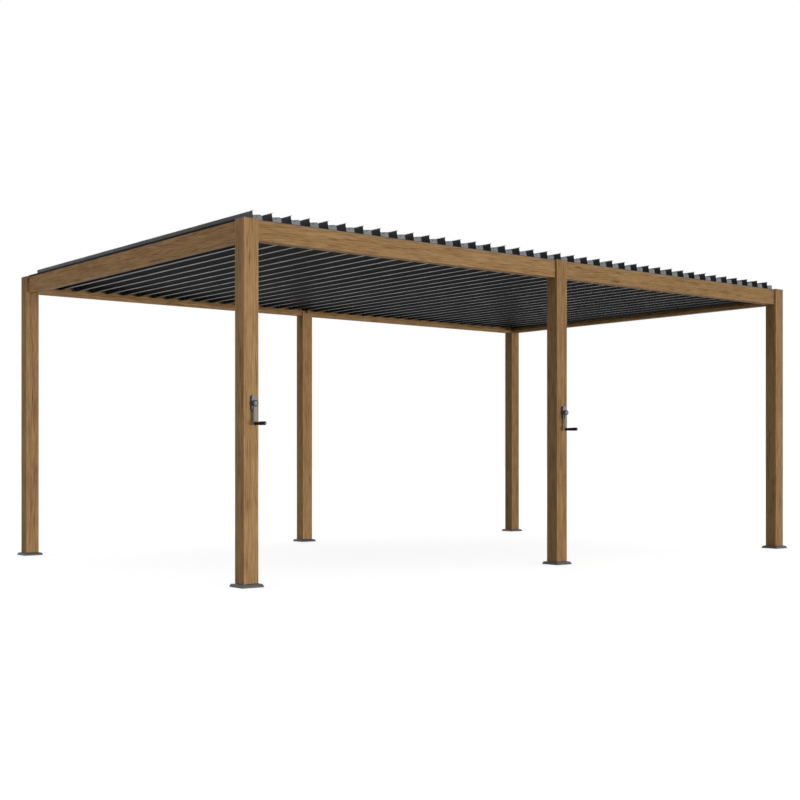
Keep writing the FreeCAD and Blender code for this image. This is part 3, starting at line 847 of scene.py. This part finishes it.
# Screw heads on every point of a mesh, turned to the point's facing
def screwTree():
    tree = bpy.data.node_groups.new("capScrews", "GeometryNodeTree")
    face = tree.interface
    face.new_socket(name="Geometry", in_out="INPUT", socket_type="NodeSocketGeometry")
    face.new_socket(name="Head", in_out="INPUT", socket_type="NodeSocketObject")
    radius = face.new_socket(name="Head Radius", in_out="INPUT", socket_type="NodeSocketFloat")
    radius.default_value = screw["radius"]
    face.new_socket(name="Metal", in_out="INPUT", socket_type="NodeSocketMaterial")
    face.new_socket(name="Geometry", in_out="OUTPUT", socket_type="NodeSocketGeometry")
    entry = tree.nodes.new("NodeGroupInput")
    leave = tree.nodes.new("NodeGroupOutput")
    head = tree.nodes.new("GeometryNodeObjectInfo")
    facing = tree.nodes.new("GeometryNodeInputNamedAttribute")
    facing.data_type = "FLOAT_VECTOR"
    facing.inputs["Name"].default_value = "facing"
    align = tree.nodes.new("FunctionNodeAlignRotationToVector")
    align.axis = "Z"
    points = tree.nodes.new("GeometryNodeInstanceOnPoints")
    real = tree.nodes.new("GeometryNodeRealizeInstances")
    metal = tree.nodes.new("GeometryNodeSetMaterial")
    link = tree.links.new
    link(entry.outputs["Head"], head.inputs[0])
    link(entry.outputs["Geometry"], points.inputs["Points"])
    link(head.outputs["Geometry"], points.inputs["Instance"])
    link(facing.outputs["Attribute"], align.inputs["Vector"])
    link(align.outputs[0], points.inputs["Rotation"])
    link(entry.outputs["Head Radius"], points.inputs["Scale"])
    link(points.outputs["Instances"], real.inputs[0])
    link(real.outputs[0], metal.inputs["Geometry"])
    link(entry.outputs["Metal"], metal.inputs["Material"])
    link(metal.outputs[0], leave.inputs[0])
    return tree


# A mesh of the tree's instances on (place, facing) spots
def scattered(tree, spots, values, name):
    mesh = bpy.data.meshes.new(name)
    mesh.from_pydata([spot for spot, facing in spots], [], [])
    attribute = mesh.attributes.new("facing", "FLOAT_VECTOR", "POINT")
    for index, (spot, facing) in enumerate(spots):
        attribute.data[index].vector = facing
    stand = addObject("scatterStand", mesh)
    modifier = stand.modifiers.new("screws", "NODES")
    modifier.node_group = tree
    for item in tree.interface.items_tree:
        if item.in_out == "INPUT" and item.name in values:
            modifier[item.identifier] = values[item.name]
    result = plainMesh(stand)
    result.name = name
    return result


# The end cap's corners in the closed louvre's section, moved in by inset
def capOutline(inset):
    left, right = louvre["left"], louvre["right"]
    rise, drop = louvre["rise"], louvre["drop"]
    corner, bevel = louvre["corner"], louvre["gutterCorner"]
    topShare, shoulderShare, cornerShare = louvre["slant"]
    lean = (left - louvre["gutterLeft"]) / (drop - louvre["gutterTop"])
    points = [(-louvre["gutterLeft"] + inset, -louvre["gutterTop"] - inset * topShare),
              (-louvre["shoulder"] + inset * shoulderShare, rise - inset), (right - inset, rise - inset)]
    for step in range(louvre["cornerSteps"] + 1):
        angle = math.radians(90 * step / louvre["cornerSteps"])
        points.append((right - corner + (corner - inset) * math.cos(angle),
                       corner - drop - (corner - inset) * math.sin(angle)))
    points.append((-left + bevel + inset * cornerShare, -drop + inset))
    points.append((-left + bevel * lean + inset, -drop + bevel + inset * cornerShare))
    return points


# From the closed section to the place at rest
def turnedOpen(point, pin):
    angle = math.radians(louvre["openAngle"])
    x, z = point
    return (pin[0] + x * math.cos(angle) - z * math.sin(angle),
            pin[1] + x * math.sin(angle) + z * math.cos(angle))


# Both end caps of a louvre: ends are (place along the louvre, outward direction)
def capMesh(pin, ends):
    edgeInset, edgeDepth = louvre["capEdge"]
    dishStart, dishEnd, dishDepth = louvre["capDish"]
    proud = louvre["capProud"]
    levels = ((edgeInset, -edgeDepth), (edgeInset, edgeDepth), (louvre["capInset"], proud),
              (dishStart, proud), (dishEnd, proud - dishDepth))
    form = bmesh.new()
    for y, outward in ends:
        rings = []
        for inset, depth in levels:
            ring = []
            for point in capOutline(inset):
                x, z = turnedOpen(point, pin)
                ring.append(form.verts.new((x, y + outward * depth, z)))
            rings.append(ring)
        joinRings(form, rings)
        form.faces.new(rings[0])
        form.faces.new(rings[-1])
    return closedMesh(form, "endCaps")


def dressLouvre(name, pin):
    paint(name, coats["anthraciteLouvre"])
    low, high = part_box(name)
    ends = ((low.y + louvre["pinReach"], -1), (high.y - louvre["pinReach"], 1))
    # the end caps take the lighter grey coat, painted light on the louvres' anthracite
    finished(capMesh(pin, ends), name + "Caps", coats["greyEndCap"], name)
    spots = []
    for y, outward in ends:
        for point in screw["spots"]:
            x, z = turnedOpen(point, pin)
            spots.append(((x, y + outward * louvre["capProud"], z), (0, outward, 0)))
    values = {"Head": screwHead, "Head Radius": screw["radius"], "Metal": coats["driveDark"]}
    heads = scattered(screws, spots, values, name + "Screws")
    finished(heads, name + "Screws", coats["driveDark"], name)


screws = screwTree()
headMesh = turned(screw["profile"], screw["steps"], (0, 0, 0), (0, 0, 1), "screwHead")
screwHead = addObject("screwHead", headMesh)
pins = {}
for joint in frame["joints"]:
    if joint["name"].startswith("louvre_"):
        pins[joint["name"].removesuffix("_tilt")] = (joint["pos_m"][0], joint["pos_m"][2])
for name in sorted(pins):
    dressLouvre(name, pins[name])
bpy.data.objects.remove(screwHead)
print("louvres dressed:", len(pins))
